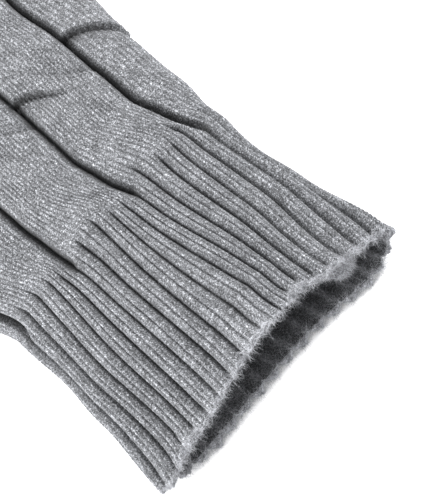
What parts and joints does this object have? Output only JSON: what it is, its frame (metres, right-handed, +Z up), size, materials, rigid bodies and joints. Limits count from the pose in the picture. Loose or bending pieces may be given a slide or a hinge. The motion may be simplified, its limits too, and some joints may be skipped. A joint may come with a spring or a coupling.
{
  "type": "pair of knitted mittens",
  "caption": "Pair of knitted mittens with ribbed cuffs, cabled hands, closed finger pockets and thumbs set into the sides, lying flat on their palms.",
  "frame": {"origin": "on the table, in the middle of the pair's bounding box", "axes": "+X across the pair from the right-hand mitten to the left-hand one, +Y from the cuffs to the fingertips, +Z up through the backs of the hands"},
  "size_m": [0.3174, 0.2454, 0.024],
  "materials": {
    "right_hand_back_panel": "matte heathered grey knit",
    "right_hand_palm_panel": "matte heathered grey knit",
    "right_hand_side_seam": "matte yarn",
    "right_thumb_join_seam_back": "matte yarn",
    "right_thumb_join_seam_palm": "matte yarn",
    "right_cuff_rib_back": "matte heathered grey knit",
    "right_cuff_rib_palm": "matte heathered grey knit",
    "right_cuff_cast_on_edge": "matte heathered grey knit",
    "right_cuff_side_seam": "matte yarn",
    "right_cuff_seam_end": "matte yarn",
    "right_finger_back_panel": "matte heathered grey knit",
    "right_finger_palm_panel": "matte heathered grey knit",
    "right_finger_side_seam": "matte yarn",
    "right_finger_tip_seam": "matte yarn",
    "right_thumb_back_panel": "matte heathered grey knit",
    "right_thumb_palm_panel": "matte heathered grey knit",
    "right_thumb_tip_seam": "matte yarn",
    "left_hand_back_panel": "matte heathered grey knit",
    "left_hand_palm_panel": "matte heathered grey knit",
    "left_hand_side_seam": "matte yarn",
    "left_thumb_join_seam_back": "matte yarn",
    "left_thumb_join_seam_palm": "matte yarn",
    "left_cuff_rib_back": "matte heathered grey knit",
    "left_cuff_rib_palm": "matte heathered grey knit",
    "left_cuff_cast_on_edge": "matte heathered grey knit",
    "left_cuff_side_seam": "matte yarn",
    "left_cuff_seam_end": "matte yarn",
    "left_finger_back_panel": "matte heathered grey knit",
    "left_finger_palm_panel": "matte heathered grey knit",
    "left_finger_side_seam": "matte yarn",
    "left_finger_tip_seam": "matte yarn",
    "left_thumb_back_panel": "matte heathered grey knit",
    "left_thumb_palm_panel": "matte heathered grey knit",
    "left_thumb_tip_seam": "matte yarn"
  },
  "bodies": {
    "right_hand": {"right_hand_back_panel": "right_hand_back_panel", "right_hand_palm_panel": "right_hand_palm_panel", "right_hand_side_seam": "right_hand_side_seam", "right_thumb_join_seam_back": "right_thumb_join_seam_back", "right_thumb_join_seam_palm": "right_thumb_join_seam_palm"},
    "right_cuff": {"right_cuff_rib_back": "right_cuff_rib_back", "right_cuff_rib_palm": "right_cuff_rib_palm", "right_cuff_cast_on_edge": "right_cuff_cast_on_edge", "right_cuff_side_seam": "right_cuff_side_seam", "right_cuff_seam_end": "right_cuff_seam_end"},
    "right_fingers": {"right_finger_back_panel": "right_finger_back_panel", "right_finger_palm_panel": "right_finger_palm_panel", "right_finger_side_seam": "right_finger_side_seam", "right_finger_tip_seam": "right_finger_tip_seam"},
    "right_thumb": {"right_thumb_back_panel": "right_thumb_back_panel", "right_thumb_palm_panel": "right_thumb_palm_panel", "right_thumb_tip_seam": "right_thumb_tip_seam"},
    "left_hand": {"left_hand_back_panel": "left_hand_back_panel", "left_hand_palm_panel": "left_hand_palm_panel", "left_hand_side_seam": "left_hand_side_seam", "left_thumb_join_seam_back": "left_thumb_join_seam_back", "left_thumb_join_seam_palm": "left_thumb_join_seam_palm"},
    "left_cuff": {"left_cuff_rib_back": "left_cuff_rib_back", "left_cuff_rib_palm": "left_cuff_rib_palm", "left_cuff_cast_on_edge": "left_cuff_cast_on_edge", "left_cuff_side_seam": "left_cuff_side_seam", "left_cuff_seam_end": "left_cuff_seam_end"},
    "left_fingers": {"left_finger_back_panel": "left_finger_back_panel", "left_finger_palm_panel": "left_finger_palm_panel", "left_finger_side_seam": "left_finger_side_seam", "left_finger_tip_seam": "left_finger_tip_seam"},
    "left_thumb": {"left_thumb_back_panel": "left_thumb_back_panel", "left_thumb_palm_panel": "left_thumb_palm_panel", "left_thumb_tip_seam": "left_thumb_tip_seam"}
  },
  "joints": [
    {"name": "right_wrist_fold", "type": "hinge", "parent": "right_hand", "child": "right_cuff", "pos_m": [-0.068, -0.05875, 0.019], "axis": [-1, 0, 0], "range_deg": [0, 45]},
    {"name": "right_finger_fold", "type": "hinge", "parent": "right_hand", "child": "right_fingers", "pos_m": [-0.068, 0.02725, 0.0216], "axis": [1, 0, 0], "range_deg": [0, 60]},
    {"name": "right_thumb_swing", "type": "hinge", "parent": "right_hand", "child": "right_thumb", "pos_m": [-0.121, -0.00575, 0.009], "axis": [0, 0, 1], "range_deg": [-6, 28]},
    {"name": "left_wrist_fold", "type": "hinge", "parent": "left_hand", "child": "left_cuff", "pos_m": [0.068, -0.05875, 0.019], "axis": [-1, 0, 0], "range_deg": [0, 45]},
    {"name": "left_finger_fold", "type": "hinge", "parent": "left_hand", "child": "left_fingers", "pos_m": [0.068, 0.02725, 0.0216], "axis": [1, 0, 0], "range_deg": [0, 60]},
    {"name": "left_thumb_swing", "type": "hinge", "parent": "left_hand", "child": "left_thumb", "pos_m": [0.121, -0.00575, 0.009], "axis": [0, 0, -1], "range_deg": [-6, 28]},
    {"name": "left_mitten_apart", "type": "slide", "parent": "right_hand", "child": "left_hand", "axis": [1, 0, 0], "range_m": [0, 0.08]}
  ]
}
